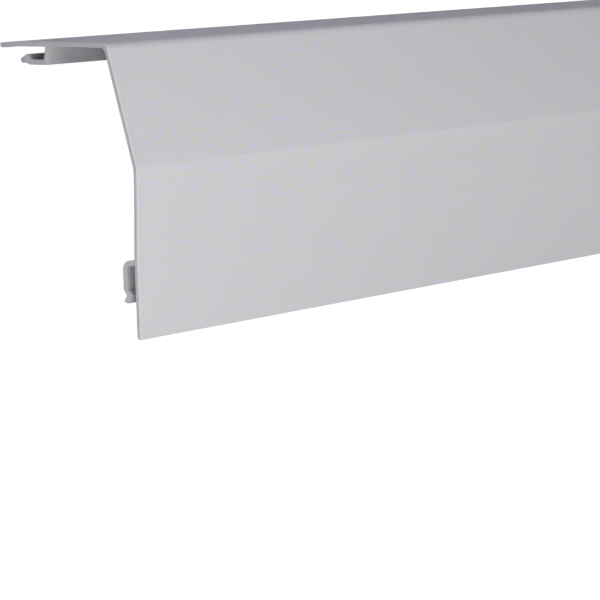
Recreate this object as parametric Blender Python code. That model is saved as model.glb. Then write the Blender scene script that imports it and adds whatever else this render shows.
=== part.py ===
"""Clip-on cover of a cable trunking: one extruded strip of light grey rigid plastic, as sold by the length.

Units are metres and +Z is up. The section is drawn as it sits on a wall: u runs from the room towards the
wall and v runs up the wall, with (0, 0) at the foot of the leg. The strip is extruded along +X. It lies on
the floor like a tent, on its foot and on the tip of its lip, with the outer skin up.
"""

import math
from collections import namedtuple

import bmesh
import bpy
from mathutils import Euler, Matrix, Vector
from mathutils.geometry import convex_hull_2d

MM = 0.001

# Stock length, and the walls below and above the bend. The flange thickens towards the bend
LENGTH = 2000 * MM
FACE_WALL = 1.6 * MM
FLANGE_WALL = 1.85 * MM
THICKENING_START = 37.0 * MM
BEND_WALL = 2.1 * MM

# Outer skin, from the foot up and over to the tip of the lip. The leg is upright up to its shoulder, and
# leans back a little from there to the crease
FOOT_HEIGHT = 33.3 * MM
FOOT_SPLAY = math.radians(2.75)
SHOULDER_HEIGHT = 61.3 * MM
SHOULDER_LEAN = math.radians(2.9)
CREASE_HEIGHT = 68.1 * MM
CREASE_RADIUS = 3.5 * MM
FACE_LEAN = math.radians(20.05)
BEND_HEIGHT = 115.7 * MM
BEND_RADIUS = 4.0 * MM
BEND_INNER_RADIUS = 2.3 * MM
FLANGE_FALL = math.radians(3.06)
LIP_START = 54.7 * MM
LIP_FALL = math.radians(3.9)
DEPTH = 84.2 * MM

# The lip thins out from the hook and thickens again to a bead at its tip
LIP_ROOT = 56.5 * MM
LIP_ROOT_WALL = 1.93 * MM
BEAD_START = 74.5 * MM
BEAD_START_WALL = 1.66 * MM
BEAD_END = 81.5 * MM
BEAD_WALL = 2.1 * MM
TIP_RADIUS = 0.7 * MM
BEAD_RADIUS = 1.35 * MM

# The foot is sharp on the room side and rounded on the wall side
FOOT_RADIUS = 0.2 * MM
FOOT_INNER_RADIUS = 1.4 * MM

# Clip hooks. Each corner is (along the arm, away from the skin, fillet radius), from the hook's root
Hook = namedtuple("Hook", "root heel arm_end dip toe nose barb arm_end_inside heel_inside")
HOOK_INNER_ROOT_RADIUS = 0.4 * MM
UPPER_HOOK_ROOT = 53.95 * MM
UPPER_HOOK = Hook(
    root=(0, 0, 1.7 * MM),
    heel=(1.5 * MM, 7.45 * MM, 1.3 * MM),
    arm_end=(12.55 * MM, 7.35 * MM, 1.0 * MM),
    dip=(14.45 * MM, 6.1 * MM, 0.7 * MM),
    toe=(16.25 * MM, 6.9 * MM, 0.6 * MM),
    nose=(18.4 * MM, 5.3 * MM, 1.0 * MM),
    barb=(13.3 * MM, 2.92 * MM, 0.9 * MM),
    arm_end_inside=(11.25 * MM, 5.25 * MM, 1.0 * MM),
    heel_inside=(2.95 * MM, 5.35 * MM, 1.1 * MM),
)
LOWER_HOOK_ROOT = 31.85 * MM
LOWER_HOOK = Hook(
    root=(0, 0, 0.7 * MM),
    heel=(1.65 * MM, 6.87 * MM, 3.9 * MM),
    arm_end=(12.55 * MM, 6.5 * MM, 1.0 * MM),
    dip=(15.0 * MM, 4.45 * MM, 0.5 * MM),
    toe=(17.5 * MM, 6.45 * MM, 0.6 * MM),
    nose=(18.15 * MM, 3.7 * MM, 0.8 * MM),
    barb=(14.15 * MM, 1.55 * MM, 0.5 * MM),
    arm_end_inside=(12.35 * MM, 4.2 * MM, 1.0 * MM),
    heel_inside=(3.38 * MM, 4.8 * MM, 1.2 * MM),
)

# Fillets are drawn with one chord for each of these turns
ARC_STEP = math.radians(7.5)
WELD_DISTANCE = 0.001 * MM
SHARP_ANGLE = math.radians(25)

PLASTIC_COLOUR = (0.60, 0.595, 0.61, 1.0)
PLASTIC_ROUGHNESS = 0.42

Corner = namedtuple("Corner", "point radius")
Line = namedtuple("Line", "point heading")


def heading(angle):
    """Unit vector of the section plane at an angle from u towards v."""
    return Vector((math.cos(angle), math.sin(angle)))


def offset(line, distance):
    """The line moved to the right of its heading, which is into the plastic from the outer skin."""
    return Line(line.point + distance * Vector((line.heading.y, -line.heading.x)), line.heading)


def meet(first, second):
    """The point where two lines cross."""
    across = second.point - first.point
    reach = across.cross(second.heading) / first.heading.cross(second.heading)
    return first.point + reach * first.heading


def at_depth(line, u):
    """The point of a line at distance u from the room side."""
    return line.point + line.heading * ((u - line.point.x) / line.heading.x)


def through(start, end):
    """The line from one point towards another."""
    return Line(start, (end - start).normalized())


def at_height(line, v):
    """The point of a line at height v."""
    return line.point + line.heading * ((v - line.point.y) / line.heading.y)


def skin_lines():
    """Outer skin as straight lines: foot, leg, shoulder, inclined face, flange and lip."""
    foot = Line(Vector((0, 0)), heading(math.pi / 2 - FOOT_SPLAY))
    leg = Line(at_height(foot, FOOT_HEIGHT), heading(math.pi / 2))
    shoulder = Line(at_height(leg, SHOULDER_HEIGHT), heading(math.pi / 2 - SHOULDER_LEAN))
    face = Line(at_height(shoulder, CREASE_HEIGHT), heading(math.pi / 2 - FACE_LEAN))
    flange = Line(at_height(face, BEND_HEIGHT), heading(-FLANGE_FALL))
    lip = Line(at_depth(flange, LIP_START), heading(-LIP_FALL))
    return foot, leg, shoulder, face, flange, lip


def outer_skin(foot, leg, shoulder, face, flange, lip):
    """Corners of the outer skin, from the foot to the tip of the lip."""
    return [
        Corner(foot.point, FOOT_RADIUS),
        Corner(leg.point, 0),
        Corner(shoulder.point, 0),
        Corner(face.point, CREASE_RADIUS),
        Corner(flange.point, BEND_RADIUS),
        Corner(lip.point, 0),
        Corner(at_depth(lip, DEPTH), TIP_RADIUS),
    ]


def lip_underside(lip):
    """The underside of the lip between the hook and the bead, from its thick root to its thin end."""
    root = at_depth(offset(lip, LIP_ROOT_WALL), LIP_ROOT)
    return through(root, at_depth(offset(lip, BEAD_START_WALL), BEAD_START))


def flange_underside(flange):
    """The underside of the flange where it thickens, from the thin end to the bend."""
    start = at_depth(offset(flange, FLANGE_WALL), THICKENING_START)
    return through(start, at_depth(offset(flange, BEND_WALL), flange.point.x))


def bead(lip):
    """Corners of the thickened underside at the tip of the lip, from the tip inwards."""
    bead_inside = offset(lip, BEAD_WALL)
    return [
        Corner(at_depth(bead_inside, DEPTH), BEAD_RADIUS),
        Corner(at_depth(bead_inside, BEAD_END), 0),
        Corner(at_depth(offset(lip, BEAD_START_WALL), BEAD_START), 0),
    ]


def hook_corners(hook, root, along, skin):
    """Corners of a hook: from its root, round its nose and back to the skin that its inner side meets."""
    side = math.copysign(1, along.dot(skin.heading))
    away = side * Vector((along.y, -along.x))
    corners = [Corner(root + along * run + away * rise, radius) for run, rise, radius in hook]
    bar_inside = Line(corners[-1].point, corners[1].point - root)
    return [*corners, Corner(meet(bar_inside, skin), HOOK_INNER_ROOT_RADIUS)]


def section_corners():
    """Every corner of the section with its fillet radius, once round."""
    foot, leg, shoulder, face, flange, lip = skin_lines()
    foot_in, leg_in, shoulder_in, face_in = (offset(line, FACE_WALL) for line in (foot, leg, shoulder, face))
    flange_in = offset(flange, FLANGE_WALL)
    thickening = flange_underside(flange)
    upper_root = at_depth(flange_in, UPPER_HOOK_ROOT)
    lower_root = at_height(foot_in, LOWER_HOOK_ROOT)
    upper_hook = hook_corners(UPPER_HOOK, upper_root, flange_in.heading, lip_underside(lip))
    lower_hook = hook_corners(LOWER_HOOK, lower_root, heading(-math.pi / 2), foot_in)
    return [
        *outer_skin(foot, leg, shoulder, face, flange, lip),
        *bead(lip),
        *reversed(upper_hook),
        Corner(thickening.point, 0),
        Corner(meet(thickening, face_in), BEND_INNER_RADIUS),
        Corner(meet(face_in, shoulder_in), CREASE_RADIUS - FACE_WALL),
        Corner(meet(shoulder_in, leg_in), 0),
        Corner(meet(leg_in, foot_in), 0),
        *lower_hook,
        Corner(at_height(foot_in, 0), FOOT_INNER_RADIUS),
    ]


def fillet(before, corner, after):
    """Points of the arc that rounds a corner, or the corner itself where its radius is 0."""
    if not corner.radius:
        return [corner.point]
    arriving = (corner.point - before).normalized()
    leaving = (after - corner.point).normalized()
    turn = math.atan2(arriving.cross(leaving), arriving.dot(leaving))
    cut = corner.radius * math.tan(abs(turn) / 2)
    start = corner.point - arriving * cut
    centre = start + math.copysign(corner.radius, turn) * Vector((-arriving.y, arriving.x))
    spoke = start - centre
    steps = max(2, math.ceil(abs(turn) / ARC_STEP))
    return [centre + Matrix.Rotation(turn * i / steps, 2) @ spoke for i in range(steps + 1)]


def section_points():
    """The outline of the section as a closed list of points."""
    corners = section_corners()
    points = []
    for i, corner in enumerate(corners):
        before = corners[i - 1].point
        after = corners[(i + 1) % len(corners)].point
        points += fillet(before, corner, after)
    return points


def extruded(name, points, length):
    """A 2D curve through the points, filled and extruded by its length along its own Z."""
    curve = bpy.data.curves.new(name, "CURVE")
    curve.dimensions = "2D"
    curve.fill_mode = "BOTH"
    curve.extrude = length / 2
    spline = curve.splines.new("POLY")
    spline.points.add(len(points) - 1)
    for target, point in zip(spline.points, points):
        target.co = (point.x, point.y, 0, 1)
    spline.use_cyclic_u = True
    return bpy.data.objects.new(name, curve)


def as_mesh(curve_object, collection):
    """Replaces a curve object by a mesh object with its caps welded and its round stretches smooth."""
    name = curve_object.name
    collection.objects.link(curve_object)
    bpy.context.view_layer.update()
    graph = bpy.context.evaluated_depsgraph_get()
    mesh = bpy.data.meshes.new_from_object(curve_object.evaluated_get(graph))
    bpy.data.objects.remove(curve_object)
    shape = bmesh.new()
    shape.from_mesh(mesh)
    bmesh.ops.remove_doubles(shape, verts=shape.verts, dist=WELD_DISTANCE)
    bmesh.ops.recalc_face_normals(shape, faces=shape.faces)
    shape.to_mesh(mesh)
    shape.free()
    mesh.shade_smooth()
    mesh.set_sharp_from_angle(angle=SHARP_ANGLE)
    solid = bpy.data.objects.new(name, mesh)
    collection.objects.link(solid)
    return solid


def rest_angle(points):
    """Slope of the longest edge of the section's hull, which spans from the foot to the tip of the lip."""
    hull = [points[i] for i in convex_hull_2d(points)]
    edges = [after - before for before, after in zip(hull, hull[1:] + hull[:1])]
    span = max(edges, key=lambda edge: edge.length)
    return math.atan2(span.y, span.x)


def lay_on_floor(solid, points):
    """Turns the strip about its length onto its foot and its tip, centred over the origin."""
    upright = Euler((math.pi / 2, 0, math.pi / 2)).to_matrix().to_4x4()
    turned = Matrix.Rotation(-rest_angle(points), 4, "X") @ upright
    solid.matrix_world = turned
    corners = [turned @ vertex.co for vertex in solid.data.vertices]
    across = [corner.y for corner in corners]
    centre = (min(across) + max(across)) / 2
    lowest = min(corner.z for corner in corners)
    solid.matrix_world = Matrix.Translation((0, -centre, -lowest)) @ turned


def plastic():
    """Satin light grey rigid plastic."""
    material = bpy.data.materials.new("grey_plastic")
    material.use_nodes = True
    shader = material.node_tree.nodes["Principled BSDF"]
    shader.inputs["Base Color"].default_value = PLASTIC_COLOUR
    shader.inputs["Roughness"].default_value = PLASTIC_ROUGHNESS
    shader.inputs["Metallic"].default_value = 0.0
    return material


def clear_scene():
    for item in list(bpy.data.objects):
        bpy.data.objects.remove(item)


def main():
    clear_scene()
    collection = bpy.data.collections.new("cable_trunking")
    bpy.context.scene.collection.children.link(collection)
    points = section_points()
    cover = as_mesh(extruded("trunking_cover", points, LENGTH), collection)
    cover.data.materials.clear()
    cover.data.materials.append(plastic())
    lay_on_floor(cover, points)


main()
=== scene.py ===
"""Looks of the trunking cover: satin light grey plastic with sawn ends, on a white studio floor.

Units are metres. The strip lies along X on its foot (low Y) and on the tip of its lip (high Y), and the
photograph shows the first 0.3 m of it from the end at low X.
"""

import math

import bmesh
import bpy
from mathutils import Matrix, Vector


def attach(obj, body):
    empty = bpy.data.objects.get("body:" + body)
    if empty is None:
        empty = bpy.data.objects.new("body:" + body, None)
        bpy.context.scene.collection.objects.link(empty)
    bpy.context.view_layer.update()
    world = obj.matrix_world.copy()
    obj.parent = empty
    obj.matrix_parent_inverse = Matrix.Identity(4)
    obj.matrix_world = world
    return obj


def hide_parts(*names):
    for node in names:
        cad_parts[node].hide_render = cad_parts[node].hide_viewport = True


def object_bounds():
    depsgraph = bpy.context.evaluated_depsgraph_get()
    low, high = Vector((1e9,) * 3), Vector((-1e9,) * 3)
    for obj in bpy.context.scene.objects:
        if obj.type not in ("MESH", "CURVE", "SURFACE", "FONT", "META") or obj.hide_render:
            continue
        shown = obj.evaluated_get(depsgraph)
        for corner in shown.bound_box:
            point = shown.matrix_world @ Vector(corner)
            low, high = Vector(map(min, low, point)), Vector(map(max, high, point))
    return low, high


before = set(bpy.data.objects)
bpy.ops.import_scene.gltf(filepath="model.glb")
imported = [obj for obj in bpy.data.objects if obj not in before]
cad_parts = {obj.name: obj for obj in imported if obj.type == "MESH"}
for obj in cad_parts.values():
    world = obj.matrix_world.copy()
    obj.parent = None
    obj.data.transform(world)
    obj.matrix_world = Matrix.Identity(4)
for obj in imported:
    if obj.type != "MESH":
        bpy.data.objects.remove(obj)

CAD_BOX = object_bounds()
HALF_LENGTH = CAD_BOX[1][0]
COVER = "trunking_cover"
MM = 0.001

# The camera: where it stands, how it is turned, and what it sees. Sensor and lens are in millimetres
CAMERA_PLACE = Vector((-1647.03, -341.58, 692.98)) * MM
CAMERA_HEADING = math.radians(69.524)
CAMERA_TILT_DOWN = math.radians(41.232)
CAMERA_ROLL = math.radians(50.009)
CLIP_START = 0.05
CLIP_END = 100
SENSOR_WIDTH = 36.0
FOCAL_LENGTH = 150.0

# The visible strip is welded, and its saw-cut rims lose a hair's breadth
WELD_DISTANCE = 0.002 * MM
FLAT_ANGLE = math.radians(0.5)
RIM_BEVEL = 0.10 * MM
RIM_SEGMENTS = 2
END_REACH = 0.01 * MM
SKIN_SLOT = 0
SAWN_SLOT = 1

# How far the large faces set the shading at their rims: 50 is neutral, and 100 is the most
LARGE_FACE_PULL = 100

# Colours on the skin: two kinds of speck, broad patches, and a painted highlight along each cut
COOL_SPECK = (0.600, 0.580, 0.695)
WARM_SPECK = (0.604, 0.602, 0.530)
PATCH_COLOUR = (0.585, 0.578, 0.592)
RIM_HIGHLIGHT_COLOUR = (0.665, 0.657, 0.680)

# Colours on the sawn ends: painted shade at the leg and painted light at the lip, and where the saw has
# smeared the plastic
SHADED_LEG_END_COLOUR = (0.560, 0.555, 0.571)
LIT_LIP_END_COLOUR = (0.800, 0.792, 0.820)
SMEAR_COLOUR = (0.66, 0.655, 0.665)

# How much of a colour shows at most, and where the noise turns from the cool speck to the warm one
PATCH_SHARE = 0.35
RIM_HIGHLIGHT_SHARE = 0.6
SMEAR_SHARE = 0.3
SPECK_TURN = (0.43, 0.57)

# Noise, in waves per metre along X, Y and Z
SPECK_WAVES = (760, 760, 760)
PATCH_WAVES = (5, 22, 22)
SHEEN_WAVES = (9, 260, 260)
DIE_LINE_WAVES = (1.2, 950, 950)
GRAIN_WAVES = (2600, 2600, 2600)
SMEAR_WAVES = (900, 350, 350)
SAW_MARK_WAVES = (200, 300, 2600)

# Noise mostly stays within these values
NOISE_RANGE = (0.3, 0.7)

# Relief and sheen
DIE_LINE_DEPTH = 0.006 * MM
GRAIN_DEPTH = 0.010 * MM
SAW_MARK_DEPTH = 0.02 * MM
SKIN_ROUGHNESS = (0.43, 0.52)
SAWN_ROUGHNESS = (0.55, 0.68)
PLASTIC_IOR = 1.5

# Where the painted highlight lies on the skin beside the cuts, measured from the middle of the length. Where
# the painted light on the end face grows, measured along the section's depth, from the leg towards the lip
LENGTH_WAY = (1, 0, 0)
PAINTED_RIM_HIGHLIGHT = (HALF_LENGTH - 1.4 * MM, HALF_LENGTH - 0.6 * MM)
DEPTH_WAY = (0, 0.601, -0.799)
PAINTED_END_LIGHT_SPAN = (-34 * MM, 21 * MM)

# The floor lights the strip as a pale sheet would, and the camera sees mostly its shine
FLOOR_HALF = 30.0
SHEET_COLOUR = (0.8, 0.8, 0.8, 1)
SHINE_STRENGTH = 1.1
SHINE_SHARE = 0.92

# The lights stand in rows along the front and the back of the strip, and off its ends
FRONT = -1
BACK = 1
ROW_PLACES = (-1.05 * HALF_LENGTH, 0.0, 1.05 * HALF_LENGTH)
AIM_HEIGHT = 0.03
END_AIM_ACROSS = 0.03
COOL_LIGHT = (0.84, 0.82, 1.0)
SURROUND_STRENGTH = 0.01
WHITE = (1, 1, 1, 1)


def set_inputs(node, **values):
    """Sets a node's inputs by name, with underscores for the spaces in the names."""
    for name, value in values.items():
        node.inputs[name.replace("_", " ")].default_value = value
    return node


class NodeTree:
    """A short way to write a material's nodes."""

    def __init__(self, tree):
        self.tree = tree
        tree.nodes.clear()

    def add(self, kind, **values):
        return set_inputs(self.tree.nodes.new("ShaderNode" + kind), **values)

    def link(self, source, target):
        self.tree.links.new(source, target)
        return target

    def scaled_place(self, scale):
        """Object coordinates in metres, scaled along X, Y and Z."""
        mapping = self.add("Mapping", Scale=scale)
        self.link(self.add("TexCoord").outputs["Object"], mapping.inputs["Vector"])
        return mapping.outputs["Vector"]

    def along(self, direction):
        """Object coordinates in metres, measured along a direction."""
        dot = self.add("VectorMath")
        dot.operation = "DOT_PRODUCT"
        self.link(self.add("TexCoord").outputs["Object"], dot.inputs[0])
        dot.inputs[1].default_value = direction
        return dot.outputs["Value"]

    def noise(self, waves, detail=2.0, roughness=0.5):
        """Noise from 0 to 1 with the given number of waves per metre along X, Y and Z."""
        noise = self.add("TexNoise", Scale=1.0, Detail=detail, Roughness=roughness)
        self.link(self.scaled_place(waves), noise.inputs["Vector"])
        return noise.outputs["Fac"]

    def absolute(self, value):
        """The value without its sign."""
        size = self.add("Math")
        size.operation = "ABSOLUTE"
        self.link(value, size.inputs[0])
        return size.outputs["Value"]

    def ranged(self, value, low, high, source=NOISE_RANGE):
        """The value stretched from the source range to low .. high."""
        ranged = self.add("MapRange", From_Min=source[0], From_Max=source[1], To_Min=low, To_Max=high)
        self.link(value, ranged.inputs["Value"])
        return ranged.outputs["Result"]

    def mixed(self, factor, first, second):
        """A colour mixed from two colours or colour sockets."""
        mix = self.tree.nodes.new("ShaderNodeMix")
        mix.data_type = "RGBA"
        self.link(factor, mix.inputs["Factor"])
        # The node has sockets for every data type, and these are the ones for colours
        first_input, second_input, result = mix.inputs[6], mix.inputs[7], mix.outputs[2]
        for socket, colour in ((first_input, first), (second_input, second)):
            if isinstance(colour, bpy.types.NodeSocket):
                self.link(colour, socket)
            else:
                socket.default_value = (*colour, 1)
        return result

    def bump(self, height, depth, normal=None):
        """A bump that raises the surface by depth metres where height is 1."""
        bump = self.add("Bump", Strength=1.0, Distance=depth)
        self.link(height, bump.inputs["Height"])
        if normal is not None:
            self.link(normal, bump.inputs["Normal"])
        return bump.outputs["Normal"]


def new_material(name):
    material = bpy.data.materials.new(name)
    material.use_nodes = True
    return material, NodeTree(material.node_tree)


def close_material(nodes, shader):
    nodes.link(shader, nodes.add("OutputMaterial").inputs["Surface"])


def plastic_skin():
    """Satin extruded plastic: fine cool and warm specks, faint die lines along the strip, a matt grain, and
    a painted highlight, a pale line along each saw cut."""
    material, nodes = new_material("grey_plastic_skin")
    shader = nodes.add("BsdfPrincipled", Metallic=0.0, IOR=PLASTIC_IOR)
    specks = nodes.ranged(nodes.noise(SPECK_WAVES, detail=1.5), 0, 1, source=SPECK_TURN)
    fine = nodes.mixed(specks, COOL_SPECK, WARM_SPECK)
    patches = nodes.ranged(nodes.noise(PATCH_WAVES), 0, PATCH_SHARE)
    tone = nodes.mixed(patches, fine, PATCH_COLOUR)
    # Painted highlight: the skin is paler in a thin line beside each cut
    rim = nodes.ranged(nodes.absolute(nodes.along(LENGTH_WAY)), 0, RIM_HIGHLIGHT_SHARE, source=PAINTED_RIM_HIGHLIGHT)
    colour = nodes.mixed(rim, tone, RIM_HIGHLIGHT_COLOUR)
    nodes.link(colour, shader.inputs["Base Color"])
    sheen = nodes.ranged(nodes.noise(SHEEN_WAVES), *SKIN_ROUGHNESS)
    nodes.link(sheen, shader.inputs["Roughness"])
    lines = nodes.bump(nodes.noise(DIE_LINE_WAVES, detail=3, roughness=0.65), DIE_LINE_DEPTH)
    grain = nodes.bump(nodes.noise(GRAIN_WAVES), GRAIN_DEPTH, normal=lines)
    nodes.link(grain, shader.inputs["Normal"])
    close_material(nodes, shader.outputs["BSDF"])
    return material


def plastic_sawn():
    """The end face as the saw leaves it: dull, with fine marks across the wall, and painted light that makes
    it paler towards the lip.
    """
    material, nodes = new_material("grey_plastic_sawn")
    shader = nodes.add("BsdfPrincipled", Metallic=0.0, IOR=PLASTIC_IOR)
    # Painted light and shade: the end face is darker at the leg and paler towards the lip
    painted_end_light = nodes.ranged(nodes.along(DEPTH_WAY), 0, 1, source=PAINTED_END_LIGHT_SPAN)
    lit_end_colour = nodes.mixed(painted_end_light, SHADED_LEG_END_COLOUR, LIT_LIP_END_COLOUR)
    smear = nodes.ranged(nodes.noise(SMEAR_WAVES, detail=3), 0, 1)
    smeared = nodes.mixed(nodes.ranged(smear, 0, SMEAR_SHARE, source=(0, 1)), lit_end_colour, SMEAR_COLOUR)
    nodes.link(smeared, shader.inputs["Base Color"])
    dullness = nodes.ranged(smear, *SAWN_ROUGHNESS, source=(0, 1))
    nodes.link(dullness, shader.inputs["Roughness"])
    marks = nodes.bump(nodes.noise(SAW_MARK_WAVES, detail=3, roughness=0.7), SAW_MARK_DEPTH)
    nodes.link(marks, shader.inputs["Normal"])
    close_material(nodes, shader.outputs["BSDF"])
    return material


def is_end_face(face):
    """True for the faces that close the strip at its two cuts."""
    ends = CAD_BOX[0][0], CAD_BOX[1][0]
    return any(all(abs(vertex.co.x - end) < END_REACH for vertex in face.verts) for end in ends)


def strip_mesh(node):
    """The CAD strip as one welded mesh with whole faces, its cut rims weighted for the bevel."""
    mesh = node.data.copy()
    mesh.name = "cover_strip"
    shape = bmesh.new()
    shape.from_mesh(mesh)
    bmesh.ops.remove_doubles(shape, verts=shape.verts, dist=WELD_DISTANCE)
    bmesh.ops.dissolve_limit(
        shape, angle_limit=FLAT_ANGLE, verts=shape.verts, edges=shape.edges, use_dissolve_boundaries=False
    )
    weight = shape.edges.layers.float.new("bevel_weight_edge")
    for face in shape.faces:
        face.material_index = SAWN_SLOT if is_end_face(face) else SKIN_SLOT
        face.smooth = True
    for edge in shape.edges:
        slots = {face.material_index for face in edge.link_faces}
        edge[weight] = 1.0 if len(slots) == 2 else 0.0
        edge.smooth = True
    shape.to_mesh(mesh)
    shape.free()
    cad_normals = mesh.attributes.get("custom_normal")
    if cad_normals is not None:
        mesh.attributes.remove(cad_normals)
    return mesh


def cover_strip():
    """The visible strip, which stands for the CAD node."""
    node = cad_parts[COVER]
    strip = bpy.data.objects.new("cover_strip", strip_mesh(node))
    bpy.context.scene.collection.objects.link(strip)
    strip.data.materials.clear()
    strip.data.materials.append(plastic_skin())
    strip.data.materials.append(plastic_sawn())
    rim = strip.modifiers.new("rim", "BEVEL")
    rim.limit_method = "WEIGHT"
    rim.width = RIM_BEVEL
    rim.segments = RIM_SEGMENTS
    rim.material = SAWN_SLOT
    even = strip.modifiers.new("even_normals", "WEIGHTED_NORMAL")
    even.keep_sharp = True
    even.weight = LARGE_FACE_PULL
    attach(strip, "root")
    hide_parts(COVER)


def floor_material():
    """White studio floor: it shines where the camera sees it, and lights the strip as a pale sheet would."""
    material, nodes = new_material("white_floor")
    sheet = nodes.add("BsdfDiffuse", Color=SHEET_COLOUR)
    shine = nodes.add("Emission", Color=WHITE, Strength=SHINE_STRENGTH)
    seen = nodes.add("MixShader", Fac=SHINE_SHARE)
    nodes.link(sheet.outputs["BSDF"], seen.inputs[1])
    nodes.link(shine.outputs["Emission"], seen.inputs[2])
    either = nodes.add("MixShader")
    nodes.link(nodes.add("LightPath").outputs["Is Camera Ray"], either.inputs["Fac"])
    nodes.link(sheet.outputs["BSDF"], either.inputs[1])
    nodes.link(seen.outputs["Shader"], either.inputs[2])
    close_material(nodes, either.outputs["Shader"])
    return material


def floor():
    """A wide level floor under the strip."""
    low, high = -FLOOR_HALF, FLOOR_HALF
    mesh = bpy.data.meshes.new("floor")
    corners = [(low, low, 0), (high, low, 0), (high, high, 0), (low, high, 0)]
    mesh.from_pydata(corners, [], [(0, 1, 2, 3)])
    mesh.materials.append(floor_material())
    sheet = bpy.data.objects.new("floor", mesh)
    bpy.context.scene.collection.objects.link(sheet)


def softbox(name, place, aim, size, power, tint=(1, 1, 1)):
    """A square area light that faces its aim and stays out of the picture."""
    lamp = bpy.data.lights.new(name, "AREA")
    lamp.shape = "SQUARE"
    lamp.size = size
    lamp.energy = power
    lamp.color = tint
    box = bpy.data.objects.new(name, lamp)
    box.location = place
    box.rotation_euler = (Vector(aim) - Vector(place)).to_track_quat("-Z", "Y").to_euler()
    box.visible_camera = False
    bpy.context.scene.collection.objects.link(box)


def softbox_row(name, side, distance, elevation, size, power, tint=(1, 1, 1)):
    """Three softboxes along the strip, at one distance and elevation over its front or its back."""
    across = side * distance * math.cos(elevation)
    height = distance * math.sin(elevation)
    for i, x in enumerate(ROW_PLACES):
        softbox(f"{name}_{i}", (x, across, height), (x, 0, AIM_HEIGHT), size, power, tint)


def end_softboxes(name, place, size, power):
    """One softbox off each end of the strip, mirrored about its middle."""
    x, y, z = place
    for i, end in enumerate((-1, 1)):
        aim = (end * HALF_LENGTH, END_AIM_ACROSS, AIM_HEIGHT)
        softbox(f"{name}_{i}", (end * x, y, z), aim, size, power)


def studio_light():
    """Softboxes along the front, along the back in a cooler tone and off the ends, in a dim surround."""
    softbox_row(
        "front_softbox", FRONT, distance=0.8, elevation=math.radians(61), size=0.4, power=3.5
    )
    softbox_row(
        "back_softbox", BACK, distance=0.7, elevation=math.radians(45), size=0.4, power=1.18, tint=COOL_LIGHT
    )
    end_softboxes("end_softbox", place=(1.30, -0.45, 0.25), size=0.3, power=0.78)
    end_softboxes("end_fill", place=(1.55, -0.40, 0.42), size=0.35, power=0.85)
    world = bpy.data.worlds.new("surround")
    world.use_nodes = True
    set_inputs(world.node_tree.nodes["Background"], Color=WHITE, Strength=SURROUND_STRENGTH)
    bpy.context.scene.world = world


def camera():
    """The photograph's view: heading about the upright, then tilt, then roll about the lens."""
    lens = bpy.data.cameras.new("camera")
    lens.sensor_width = SENSOR_WIDTH
    lens.lens = FOCAL_LENGTH
    lens.clip_start = CLIP_START
    lens.clip_end = CLIP_END
    eye = bpy.data.objects.new("camera", lens)
    turn = Matrix.Rotation(-CAMERA_HEADING, 4, "Z")
    tilt = Matrix.Rotation(math.pi / 2 - CAMERA_TILT_DOWN, 4, "X")
    roll = Matrix.Rotation(CAMERA_ROLL, 4, "Z")
    eye.matrix_world = Matrix.Translation(CAMERA_PLACE) @ turn @ tilt @ roll
    bpy.context.scene.collection.objects.link(eye)
    bpy.context.scene.camera = eye


def plain_view():
    """No film look, so that the greys come out as they are lit."""
    view = bpy.context.scene.view_settings
    view.view_transform = "Standard"
    view.look = "None"


cover_strip()
floor()
studio_light()
camera()
plain_view()
